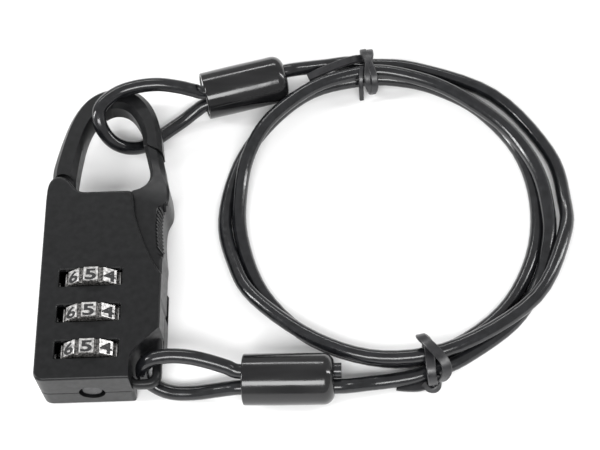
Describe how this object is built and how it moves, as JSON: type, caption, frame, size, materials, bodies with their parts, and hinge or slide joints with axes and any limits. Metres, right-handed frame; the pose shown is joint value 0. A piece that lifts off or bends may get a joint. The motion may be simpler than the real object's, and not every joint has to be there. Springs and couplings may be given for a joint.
{
  "type": "laptop cable lock",
  "caption": "Carabiner-shaped combination lock with number wheels and a sprung gate, holding both eyes of a coated steel security cable that is wound into a tied coil.",
  "frame": {"origin": "middle of the lock body's length and width, on the plane of its back face", "axes": "+X across the lock body towards its gate, +Y along it towards the hook, +Z out of its front, where the wheels show"},
  "size_m": [0.1237, 0.0943, 0.0157],
  "materials": {
    "black_paint": "satin black paint on a zinc die casting",
    "steel": "plain steel",
    "silver": "satin nickel plate",
    "brass": "turned brass",
    "aluminium": "swaged aluminium",
    "black_vinyl": "glossy vinyl",
    "black_coating": "glossy vinyl coating over twisted steel wire",
    "black_plastic": "satin black plastic"
  },
  "bodies": {
    "lock_body": {"back_body": "black_paint", "front_cover": "black_paint", "case_screw_1": "steel", "case_screw_2": "steel", "case_screw_3": "steel", "case_screw_4": "steel", "gate_pin": "steel", "gate_spring": "steel", "detent_spring": "steel", "spindle_spring": "steel", "ferrule_upper": "aluminium", "ferrule_lower": "aluminium", "ferrule_cap_upper": "black_vinyl", "ferrule_cap_lower": "black_vinyl", "cable_upper_end": "black_coating", "cable_lower_end": "black_coating", "cable_coil": "black_coating", "coil_tie_upper": "black_plastic", "coil_tie_lower": "black_plastic"},
    "gate": {"gate": "black_paint"},
    "locking_plate": {"locking_plate": "steel"},
    "reset_spindle": {"spindle": "steel", "reset_button": "black_plastic"},
    "wheel_1": {"number_wheel_1": "silver"},
    "cam_1": {"cam_sleeve_1": "brass"},
    "wheel_2": {"number_wheel_2": "silver"},
    "cam_2": {"cam_sleeve_2": "brass"},
    "wheel_3": {"number_wheel_3": "silver"},
    "cam_3": {"cam_sleeve_3": "brass"}
  },
  "joints": [
    {"name": "gate_hinge", "type": "hinge", "parent": "lock_body", "child": "gate", "pos_m": [0.0099, -0.018, 0], "axis": [0, 0, 1], "range_deg": [0, 20], "stiffness_Nm_per_rad": 0.02, "springref_deg": -20.05},
    {"name": "locking_plate_slide", "type": "slide", "parent": "lock_body", "child": "locking_plate", "axis": [-1, 0, 0], "range_m": [0, 0.0016]},
    {"name": "reset_slide", "type": "slide", "parent": "lock_body", "child": "reset_spindle", "axis": [0, 1, 0], "range_m": [0, 0.0016], "stiffness_N_per_m": 600, "springref_m": -0.002, "deforming": ["spindle_spring"]},
    {"name": "wheel_1_spin", "type": "hinge", "parent": "lock_body", "child": "wheel_1", "pos_m": [-0.0023, -0.03215, 0.0085], "axis": [0, 1, 0], "continuous": true},
    {"name": "cam_1_slide", "type": "slide", "parent": "wheel_1", "child": "cam_1", "axis": [0, 1, 0], "range_m": [0, 0.0016]},
    {"name": "wheel_2_spin", "type": "hinge", "parent": "lock_body", "child": "wheel_2", "pos_m": [-0.0023, -0.0232, 0.0085], "axis": [0, 1, 0], "continuous": true},
    {"name": "cam_2_slide", "type": "slide", "parent": "wheel_2", "child": "cam_2", "axis": [0, 1, 0], "range_m": [0, 0.0016]},
    {"name": "wheel_3_spin", "type": "hinge", "parent": "lock_body", "child": "wheel_3", "pos_m": [-0.0023, -0.01425, 0.0085], "axis": [0, 1, 0], "continuous": true},
    {"name": "cam_3_slide", "type": "slide", "parent": "wheel_3", "child": "cam_3", "axis": [0, 1, 0], "range_m": [0, 0.0016]}
  ],
  "couplings": [
    {"joint": "locking_plate_slide", "follows": "gate_hinge", "m_per_rad": 0.004583},
    {"joint": "cam_1_slide", "follows": "reset_slide", "ratio": 1},
    {"joint": "cam_2_slide", "follows": "reset_slide", "ratio": 1},
    {"joint": "cam_3_slide", "follows": "reset_slide", "ratio": 1}
  ]
}
